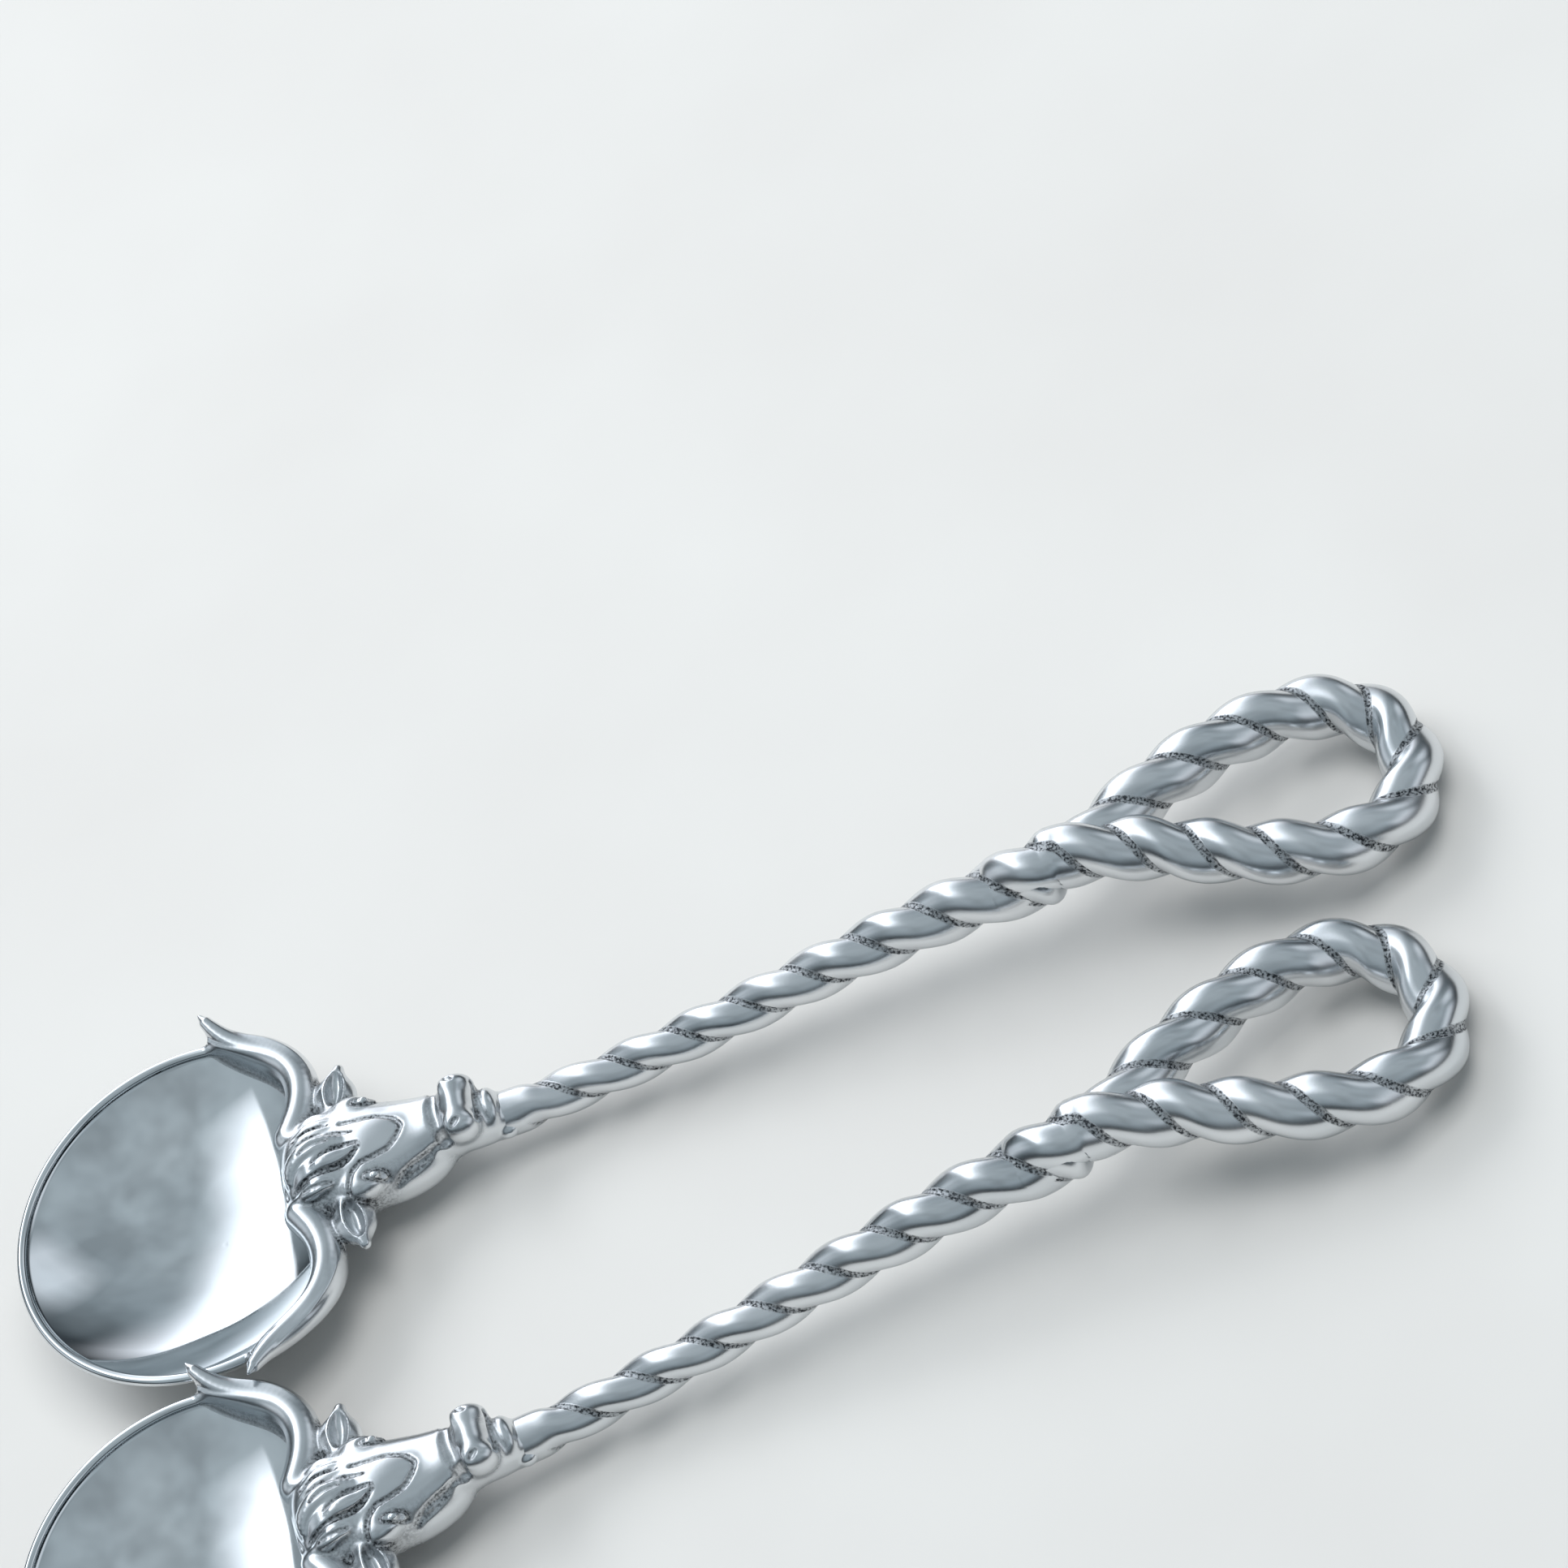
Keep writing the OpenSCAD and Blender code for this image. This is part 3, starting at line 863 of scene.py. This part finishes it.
def antiqued_aluminium():
    """Hand rubbed cast aluminium with dark patina in its hollows."""
    material, tree = finish_tree("antiqued_cast_aluminium")
    deep = add_node(tree, "ShaderNodeAttribute", attribute_name="hollow").outputs["Fac"]
    sand = mottle(tree, 0.28, 2.0)
    blots = mottle(tree, 2.2, 3.0, offset=0.4)
    broad = mottle(tree, 9.0, 2.0, offset=0.9)

    # Patina lies where the form is hollow, in blots, and is broken by the grain of the sand mould.
    blotted = add_node(tree, "ShaderNodeMapRange", (blots, 0.3, 0.7, 0.75, 1.3))
    uneven = add_node(tree, "ShaderNodeMath", (deep, blotted), operation="MULTIPLY")
    patina = add_node(tree, "ShaderNodeMapRange", (uneven, 0.10, 0.48, 0.0, 1.0))
    grains = add_node(tree, "ShaderNodeMapRange", (sand, 0.42, 0.62, 0.25, 1.0))
    speck = add_node(tree, "ShaderNodeMath", (grains, patina), operation="MULTIPLY")
    bright = add_node(tree, "ShaderNodeValToRGB", [broad],
                      stops=((0.3, "#D6DADD"), (0.7, "#E6E8EA")))
    dark = add_node(tree, "ShaderNodeValToRGB", [blots],
                    stops=((0.3, "#2B2D30"), (0.7, "#55585C")))
    mixed = add_node(tree, "ShaderNodeMix", {"Factor": speck, "A": bright, "B": dark},
                     data_type="RGBA")

    # Rubbed crests are smoother than the dull skin under the patina.
    crest_rough = add_node(tree, "ShaderNodeMapRange", (broad, 0.3, 0.7, 0.19, 0.27))
    dull = add_node(tree, "ShaderNodeMath", (patina, 0.3), operation="MULTIPLY")
    rough = add_node(tree, "ShaderNodeMath", (crest_rough, dull), operation="ADD")
    kept = add_node(tree, "ShaderNodeMapRange", (patina, 0.0, 1.0, 0.06, 1.0))
    rubbed = add_node(tree, "ShaderNodeMath", (sand, kept), operation="MULTIPLY")
    soft = add_node(tree, "ShaderNodeMath", (blots, 0.25), operation="MULTIPLY")
    dimples = add_node(tree, "ShaderNodeMath", (rubbed, soft), operation="ADD")
    grain = add_node(tree, "ShaderNodeBump",
                     {"Height": dimples, "Strength": 0.55, "Distance": 0.12 * MM})
    shader = add_node(tree, "ShaderNodeBsdfPrincipled",
                      {"Base Color": mixed.outputs["Result"], "Roughness": rough,
                       "Metallic": 1.0, "Normal": grain})
    add_node(tree, "ShaderNodeOutputMaterial", {"Surface": shader})
    return material


POLISHED = polished_aluminium()
ANTIQUED = antiqued_aluminium()
print("finishes", POLISHED.name, ANTIQUED.name)

# %% [markdown]
# ## Twisted rope
#
# The handle is two strands laid round each other, and so is the eye. Anyone can see the rule: one
# section, turned once for each lay length along a curve. Geometry Nodes sweep a circle along the
# middle line, turn it with the length, and then push each ring in or out to the outline of two
# touching strands. The valley between the strands is stored as "hollow" for the patina.

# %% The rope tree
STRAND_SHARE = 0.24
ROPE_SIDES = 44
ROPE_STEP = 0.55
PARTING_LEN = 7.0


def rope_tree():
    """Curve in, twisted two-strand rope out."""
    tree = bpy.data.node_groups.new("twisted_rope", "GeometryNodeTree")
    face = tree.interface
    face.new_socket("Geometry", in_out="INPUT", socket_type="NodeSocketGeometry")
    for name, value in (("Lay", ROPE_LAY), ("Start turn", 0.0), ("Strand share", STRAND_SHARE),
                        ("Plain start", 0.0), ("Unevenness", 0.16), ("Uneven seed", 0.0)):
        socket = face.new_socket(name, in_out="INPUT", socket_type="NodeSocketFloat")
        socket.default_value = value
    face.new_socket("Sides", in_out="INPUT", socket_type="NodeSocketInt").default_value = ROPE_SIDES
    face.new_socket("Finish", in_out="INPUT", socket_type="NodeSocketMaterial")
    face.new_socket("Geometry", in_out="OUTPUT", socket_type="NodeSocketGeometry")
    given = add_node(tree, "NodeGroupInput").outputs

    # Along the curve: the length so far turns the section and lets the strands part.
    length = add_node(tree, "GeometryNodeSplineParameter").outputs["Length"]
    lays = add_node(tree, "ShaderNodeMath", (length, given["Lay"]), operation="DIVIDE")
    turn = add_node(tree, "ShaderNodeMath", (lays, math.tau, given["Start turn"]),
                    operation="MULTIPLY_ADD")
    upright = add_node(tree, "GeometryNodeSetCurveNormal", {"Curve": given["Geometry"]}, mode="Z_UP")
    turned = add_node(tree, "GeometryNodeSetCurveTilt",
                      {"Curve": upright, "Tilt": turn})
    parted_at = add_node(tree, "ShaderNodeMath", (given["Plain start"], PARTING_LEN),
                         operation="ADD")
    parted = add_node(tree, "ShaderNodeMapRange",
                      {"Value": length, "From Min": given["Plain start"],
                       "From Max": parted_at,
                       "To Min": 0.0, "To Max": given["Strand share"]},
                      interpolation_type="SMOOTHSTEP").outputs["Result"]
    middle = add_node(tree, "GeometryNodeCaptureAttribute", {"Geometry": turned},
                      domain="POINT")
    middle.capture_items.new("VECTOR", "Middle")
    middle.capture_items.new("FLOAT", "Parted")
    place = add_node(tree, "GeometryNodeInputPosition").outputs["Position"]
    tree.links.new(place, middle.inputs["Middle"])
    tree.links.new(parted, middle.inputs["Parted"])

    # Round the section: a unit circle remembers its own place.
    circle = add_node(tree, "GeometryNodeCurvePrimitiveCircle",
                      {"Resolution": given["Sides"], "Radius": 1.0})
    section = add_node(tree, "GeometryNodeCaptureAttribute", {"Geometry": circle},
                       domain="POINT")
    section.capture_items.new("VECTOR", "Around")
    tree.links.new(place, section.inputs["Around"])
    swept = add_node(tree, "GeometryNodeCurveToMesh",
                     {"Curve": middle.outputs["Geometry"],
                      "Profile Curve": section.outputs["Geometry"], "Fill Caps": True,
                      "Scale": add_node(tree, "GeometryNodeInputRadius")})

    # The reach of two touching strands: share*|cos| + sqrt((1-share)^2 - (share*sin)^2).
    around = add_node(tree, "ShaderNodeSeparateXYZ", {"Vector": section.outputs["Around"]})
    across = add_node(tree, "ShaderNodeMath", (around.outputs["X"],), operation="ABSOLUTE")
    share = middle.outputs["Parted"]
    strand = add_node(tree, "ShaderNodeMath", (1.0, share), operation="SUBTRACT")
    dip = add_node(tree, "ShaderNodeMath", (share, around.outputs["Y"]), operation="MULTIPLY")
    strand_2 = add_node(tree, "ShaderNodeMath", (strand, strand), operation="MULTIPLY")
    dip_2 = add_node(tree, "ShaderNodeMath", (dip, dip), operation="MULTIPLY")
    gap_2 = add_node(tree, "ShaderNodeMath", (strand_2, dip_2), operation="SUBTRACT")
    root = add_node(tree, "ShaderNodeMath", (gap_2,), operation="SQRT")
    reach = add_node(tree, "ShaderNodeMath", (share, across, root), operation="MULTIPLY_ADD")
    out = add_node(tree, "ShaderNodeVectorMath", {0: place, 1: middle.outputs["Middle"]},
                   operation="SUBTRACT").outputs["Vector"]
    pushed = add_node(tree, "ShaderNodeVectorMath", {0: out, "Scale": reach}, operation="SCALE")
    at = add_node(tree, "ShaderNodeVectorMath",
                  {0: middle.outputs["Middle"], 1: pushed}, operation="ADD")
    shaped = add_node(tree, "GeometryNodeSetPosition",
                      {"Geometry": swept, "Position": at})

    # A casting is never quite even: low lumps along the normals.
    lumps = add_node(tree, "ShaderNodeTexNoise",
                     {"Vector": place, "W": given["Uneven seed"],
                      "Scale": 0.11, "Detail": 1.0}, noise_dimensions="4D").outputs["Fac"]
    raised = add_node(tree, "ShaderNodeMath", (lumps, 0.5), operation="SUBTRACT")
    most = add_node(tree, "ShaderNodeMath", (given["Unevenness"], 2.0), operation="MULTIPLY")
    height = add_node(tree, "ShaderNodeMath", (raised, most), operation="MULTIPLY")
    normal = add_node(tree, "GeometryNodeInputNormal").outputs["Normal"]
    lump = add_node(tree, "ShaderNodeVectorMath", {0: normal, "Scale": height}, operation="SCALE")
    uneven = add_node(tree, "GeometryNodeSetPosition",
                      {"Geometry": shaped, "Offset": lump})

    # The valley is where the section's own X is near 0.
    valley = add_node(tree, "ShaderNodeMapRange",
                      {"Value": across, "From Min": 0.04, "From Max": 0.34,
                       "To Min": 1.0, "To Max": 0.0}, interpolation_type="SMOOTHSTEP")
    full = add_node(tree, "ShaderNodeMath", (share, given["Strand share"]), operation="DIVIDE")
    dark = add_node(tree, "ShaderNodeMath", (valley, full), operation="MULTIPLY")
    stored = add_node(tree, "GeometryNodeStoreNamedAttribute",
                      {"Geometry": uneven, "Name": "hollow", "Value": dark},
                      data_type="FLOAT", domain="POINT")
    smooth = add_node(tree, "GeometryNodeSetShadeSmooth", {"Geometry": stored})
    real = add_node(tree, "GeometryNodeRealizeInstances", {"Geometry": smooth})
    coated = add_node(tree, "GeometryNodeSetMaterial",
                      {"Geometry": real, "Material": given["Finish"]})
    add_node(tree, "NodeGroupOutput", {"Geometry": coated})
    return tree


ROPE_TREE = rope_tree()
print("rope tree nodes", len(ROPE_TREE.nodes))

# %% Middle lines
HANDLE_X1 = HANDLE_X0 + HANDLE_LEN
EYE_X1 = EYE_X0 + EYE_LEN
EYE_START_A = 22.0
EYE_LEAD_X = 170.0
RIGHT_LEG_RAISED = 4.0
LEFT_LEG_RAISED = -1.0
# The largest value of sin(a) * sin(a / 2) ** 2, which gives the teardrop its full width.
TEARDROP_MAX = 0.6495
# The handle swells late, and leans aside over the last part of its length.
HANDLE_SWELL = 2.5
HANDLE_ASIDE = -1.6
HANDLE_ASIDE_FROM = 0.86
# The eye starts inside the handle, a little slimmer than it, and parts from it late.
LEAD_SLIMMER = 0.985
LEAD_PARTING = 1.6
EYE_SINK = 0.12


def line_h(x):
    """Height of the rope's middle line above the rim plane."""
    x = np.asarray(x, float)
    share = np.clip((x - HANDLE_X0) / HANDLE_LEN, 0, 1)
    rise = LINE_H0 + HANDLE_RISE * (1 - np.cos(math.pi * share)) / 2
    top = LINE_H0 + HANDLE_RISE
    dip = top - (top - EYE_TIP_H) * ((x - HANDLE_X1) / (EYE_X1 - HANDLE_X1)) ** 2
    return np.where(x < HANDLE_X1, rise, dip)


def even(points, half, step=ROPE_STEP):
    """The line and its half thickness at even steps."""
    run = np.concatenate([[0], np.cumsum(np.linalg.norm(np.diff(points, axis=0), axis=1))])
    at = np.linspace(0, run[-1], int(run[-1] / step) + 1)
    line = np.stack([np.interp(at, run, points[:, axis]) for axis in range(3)], 1)
    return line, np.interp(at, run, half), run[-1] - at, at


def rounded_off(half, near, cap=5.0):
    """The half thickness, closed to a dome where near, the distance to a free end, is small."""
    return half * np.sqrt(np.clip(1 - np.clip((cap - near) / cap, 0, 0.985) ** 2, 0, 1))


def handle_at(x):
    """The handle's middle line and half thickness at x."""
    share = (x - HANDLE_X0) / HANDLE_LEN
    aside = HANDLE_ASIDE * np.clip((share - HANDLE_ASIDE_FROM) / (1 - HANDLE_ASIDE_FROM), 0, 1) ** 2
    half = (ROPE_D_HEAD + (ROPE_D_END - ROPE_D_HEAD) * share ** HANDLE_SWELL) / 2
    return np.stack([x, aside, line_h(x)], 1), half


def handle_line():
    """The handle's line, rounded at its thick end, and its twist where the eye's lead starts."""
    line, half, left, gone = even(*handle_at(np.linspace(HANDLE_X0, HANDLE_X1, 500)))
    lead_turn = math.tau * float(np.interp(EYE_LEAD_X, line[:, 0], gone)) / ROPE_LAY
    return line, rounded_off(half, left), lead_turn


def eye_line():
    """The eye's line: out of the handle, round the tip, and back to the handle's end."""
    angle = np.radians(np.linspace(EYE_START_A, 360 - EYE_START_A, 900))
    bent = np.where(angle < math.pi, angle, math.tau - angle)
    side = np.where(angle < math.pi, -1.0, 1.0)
    raised = np.where(side < 0, RIGHT_LEG_RAISED, LEFT_LEG_RAISED) * np.cos(bent / 2) ** 6
    x = EYE_X0 + EYE_LEN * (1 - np.cos(bent)) / 2
    aside = EYE_ASIDE * (1 - np.cos(math.pi * np.clip((x - EYE_X0) / EYE_BEND_LEN, 0, 1))) / 2
    y = side * EYE_W / 2 * np.sin(bent) * np.sin(bent / 2) ** 2 / TEARDROP_MAX + aside
    ring = np.stack([x, y, line_h(x) + raised], 1)
    share = np.linspace(0, 1, 60)[:-1]
    lead, lead_half = handle_at(EYE_LEAD_X + (x[0] - EYE_LEAD_X) * share)
    parted = share ** LEAD_PARTING
    lead[:, 1] = lead[:, 1] * (1 - parted) + y[0] * parted
    lead[:, 2] += raised[0] * parted
    eye_half = EYE_ROPE_D / 2 - EYE_SINK
    points = np.concatenate([lead, ring])
    halves = np.concatenate([lead_half * LEAD_SLIMMER * (1 - share) + eye_half * share,
                             np.full(len(ring), eye_half)])
    line, half, left, gone = even(points, halves)
    return line, rounded_off(half, np.minimum(left, gone))


def rope_mesh(name, line, half, **sizes):
    """Lays a curve along the line, sends it through the rope tree and keeps the mesh."""
    data = bpy.data.curves.new(name, "CURVE")
    data.dimensions = "3D"
    spline = data.splines.new("POLY")
    spline.points.add(len(line) - 1)
    spline.points.foreach_set("co", np.column_stack([line, np.ones(len(line))]).ravel())
    spline.points.foreach_set("radius", half)
    host = bpy.data.objects.new(name, data)
    modifier = host.modifiers.new("rope", "NODES")
    modifier.node_group = ROPE_TREE
    for item in ROPE_TREE.interface.items_tree:
        if item.in_out == "INPUT" and item.name in sizes:
            modifier[item.identifier] = sizes[item.name]
    bpy.context.collection.objects.link(host)
    bpy.context.view_layer.update()
    ready = host.evaluated_get(bpy.context.evaluated_depsgraph_get())
    mesh = bpy.data.meshes.new_from_object(ready)
    mesh.name = name
    bpy.data.objects.remove(host)
    return mesh


*handle_course, lead_turn = handle_line()
handle_mesh = rope_mesh("rope_handle", *handle_course, **{"Plain start": 5.0, "Finish": ANTIQUED})
eye_mesh = rope_mesh("rope_eye", *eye_line(),
                     **{"Start turn": lead_turn, "Plain start": -20.0, "Uneven seed": 3.0,
                        "Finish": ANTIQUED})
for mesh in (handle_mesh, eye_mesh):
    print(mesh.name, len(mesh.polygons), "faces")

# %% [markdown]
# ## Set down both servers
#
# Each mesh is copied for each server, and its points are moved to where that server lies, so every
# object stays at the origin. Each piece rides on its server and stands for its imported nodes.

# %% Pieces


def plain_mesh(name, points, faces, finish, hollow_share=None):
    """A smooth mesh with one finish and, if given, the attribute of its hollows."""
    mesh = bpy.data.meshes.new(name)
    mesh.from_pydata(np.asarray(points).tolist(), [], np.asarray(faces).tolist()
                     if isinstance(faces, np.ndarray) else faces)
    mesh.materials.append(finish)
    mesh.shade_smooth()
    if hollow_share is not None:
        mesh.attributes.new("hollow", "FLOAT", "POINT").data.foreach_set("value", hollow_share)
    return mesh


def set_down(mesh, server, name, nodes):
    """One server's copy of a mesh, riding on that server."""
    copy = mesh.copy()
    copy.name = server + "_" + name
    copy.transform(PLACES[server])
    piece = bpy.data.objects.new(copy.name, copy)
    bpy.context.collection.objects.link(piece)
    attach(piece, server)
    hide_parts(*[server + "_" + node for node in nodes])
    return piece


bowl_mesh = plain_mesh("bowl", bowl_points, bowl_faces, POLISHED)
steer_mesh = plain_mesh("steer", steer_points, steer_faces, ANTIQUED, steer_hollow)
STEER_NODES = ("head", "forelock", "muzzle", "lip", "left_ear", "right_ear", "left_horn",
               "right_horn")
for server in PLACES:
    pieces = [
        set_down(bowl_mesh, server, "dish", ["bowl"]),
        set_down(steer_mesh, server, "steer", STEER_NODES),
        set_down(handle_mesh, server, "rope", ["handle"]),
        set_down(eye_mesh, server, "eye", ["eye_left_leg", "eye_right_leg"]),
    ]
    print(server, {piece.name: len(piece.data.polygons) for piece in pieces})

# %% [markdown]
# ## Table and light
#
# A pale matt table, two soft lights and a grey room. Polished metal shows what it reflects, so
# the room is part of the look: its long bright panel is the white band across each bowl, faint
# panels break the greys, and the bare room is the grey-blue between them. The two lights only
# light the table and the rubbed metal. Reflections leave them out.

# %% Table and light


def pale_table():
    """A wide matt floor."""
    material, tree = finish_tree("matt_table")
    shade = add_node(tree, "ShaderNodeValToRGB", (mottle(tree, 60.0, 3.0),),
                     stops=((0.3, "#D0CECB"), (0.7, "#D5D4D1")))
    shader = add_node(tree, "ShaderNodeBsdfPrincipled", {"Base Color": shade, "Roughness": 0.6})
    add_node(tree, "ShaderNodeOutputMaterial", {"Surface": shader})
    mesh = bpy.data.meshes.new("table")
    mesh.from_pydata([(-3, -3, 0), (3, -3, 0), (3, 3, 0), (-3, 3, 0)], [], [(0, 1, 2, 3)])
    mesh.materials.append(material)
    table = bpy.data.objects.new("table", mesh)
    bpy.context.collection.objects.link(table)
    return table


def softbox(name, place, aim, size, watts):
    """A rectangular light that faces its aim."""
    data = bpy.data.lights.new(name, "AREA")
    data.shape = "RECTANGLE"
    data.size, data.size_y = size
    data.energy = watts
    light = bpy.data.objects.new(name, data)
    turn = (Vector(place) - Vector(aim)).to_track_quat("Z", "Y").to_matrix().to_4x4()
    light.matrix_world = Matrix.Translation(place) @ turn
    bpy.context.collection.objects.link(light)
    return light


def glow(tree, total, inside, power):
    """Adds a lit area, given by its mask, to the room's light."""
    strength = add_node(tree, "ShaderNodeMath", (inside, power), operation="MULTIPLY")
    lit = add_node(tree, "ShaderNodeVectorMath",
                   {0: linear("#F4F8FF")[:3], "Scale": strength}, operation="SCALE")
    return add_node(tree, "ShaderNodeVectorMath", (total, lit), operation="ADD")


def room():
    """A grey room, darkest at the horizon, with one long bright panel and a few faint ones."""
    world = bpy.data.worlds.new("room")
    world.use_nodes = True
    tree = world.node_tree
    tree.nodes.clear()
    way = add_node(tree, "ShaderNodeTexCoord").outputs["Generated"]
    axes = add_node(tree, "ShaderNodeSeparateXYZ", {"Vector": way}).outputs
    blots = add_node(tree, "ShaderNodeTexNoise", {"Vector": way, "Scale": 3.2, "Detail": 2.0})
    mottled = add_node(tree, "ShaderNodeMapRange", (blots, 0.35, 0.65, 0.78, 1.12))
    bare = add_node(tree, "ShaderNodeValToRGB", (axes["Z"],), stops=ROOM_SHADES)
    total = add_node(tree, "ShaderNodeVectorMath", {0: bare, "Scale": mottled}, operation="SCALE")

    # The long panel leans with height: one edge is sharp, the other is soft, as a diffuser fades.
    edges = []
    for lean in (0.15, 0.5):
        leaned = add_node(tree, "ShaderNodeMath", (axes["Z"], lean), operation="MULTIPLY")
        edges.append(add_node(tree, "ShaderNodeMath", (axes["X"], leaned), operation="ADD"))
    soft_side = add_node(tree, "ShaderNodeMapRange", (edges[1], -0.06, 0.42, 1.0, 0.0))
    faded = add_node(tree, "ShaderNodeMath", (soft_side, soft_side), operation="MULTIPLY")
    sharp_side = add_node(tree, "ShaderNodeMapRange", (edges[0], -0.46, -0.44, 0.0, 1.0))
    band = add_node(tree, "ShaderNodeMath", (faded, sharp_side), operation="MULTIPLY")
    back = add_node(tree, "ShaderNodeMapRange", (axes["Y"], -0.22, 0.2, 0.0, 1.0))
    raised = add_node(tree, "ShaderNodeMapRange", (axes["Z"], 0.02, 0.16, 0.0, 1.0))
    behind = add_node(tree, "ShaderNodeMath", (back, raised), operation="MULTIPLY")
    inside = add_node(tree, "ShaderNodeMath", (band, behind), operation="MULTIPLY")
    total = glow(tree, total, inside, LONG_PANEL_POWER)

    bearing = add_node(tree, "ShaderNodeMath", (axes["X"], axes["Y"]), operation="ARCTAN2")
    height = add_node(tree, "ShaderNodeMath", (axes["Z"], 0.0), operation="ARCSINE")
    for sideways, up, half_wide, half_high, soft, power in PANELS:
        sides = []
        for angle, middle, half in ((bearing, sideways, half_wide), (height, up, half_high)):
            offset = add_node(tree, "ShaderNodeMath", (angle, math.radians(middle)),
                              operation="SUBTRACT")
            apart = add_node(tree, "ShaderNodeMath", (offset, 0.0), operation="ABSOLUTE")
            limits = (math.radians(half - soft), math.radians(half + soft))
            sides.append(add_node(tree, "ShaderNodeMapRange", (apart, *limits, 1.0, 0.0)))
        inside = add_node(tree, "ShaderNodeMath", sides, operation="MULTIPLY")
        total = glow(tree, total, inside, power)
    sky = add_node(tree, "ShaderNodeBackground", {"Color": total, "Strength": 1.0})
    add_node(tree, "ShaderNodeOutputWorld", {"Surface": sky})
    bpy.context.scene.world = world


# Height above the horizon (sine) and shade of the bare room.
ROOM_SHADES = ((0.0, "#1F2226"), (0.18, "#3F464B"), (0.5, "#97A3AA"), (1.0, "#B0BBC1"))
LONG_PANEL_POWER = 2.6
# Bearing from +Y towards +X, height, half width, half height, softness (degrees), power.
PANELS = ((48.0, 30.0, 14.0, 12.0, 6.0, 0.5), (105.0, 22.0, 30.0, 10.0, 8.0, 0.6),
          (-80.0, 24.0, 18.0, 12.0, 8.0, 0.5))


pale_table()
room()
softbox("left_softbox", (-1.0, 1.1, 1.15), (0, 0, 0), (1.3, 0.8), 14)
softbox("top_softbox", (0.35, 0.2, 1.8), (0, 0, 0), (1.2, 1.2), 18)
for light in bpy.data.lights:
    bpy.data.objects[light.name].visible_glossy = False
bpy.context.scene.view_settings.view_transform = "Standard"
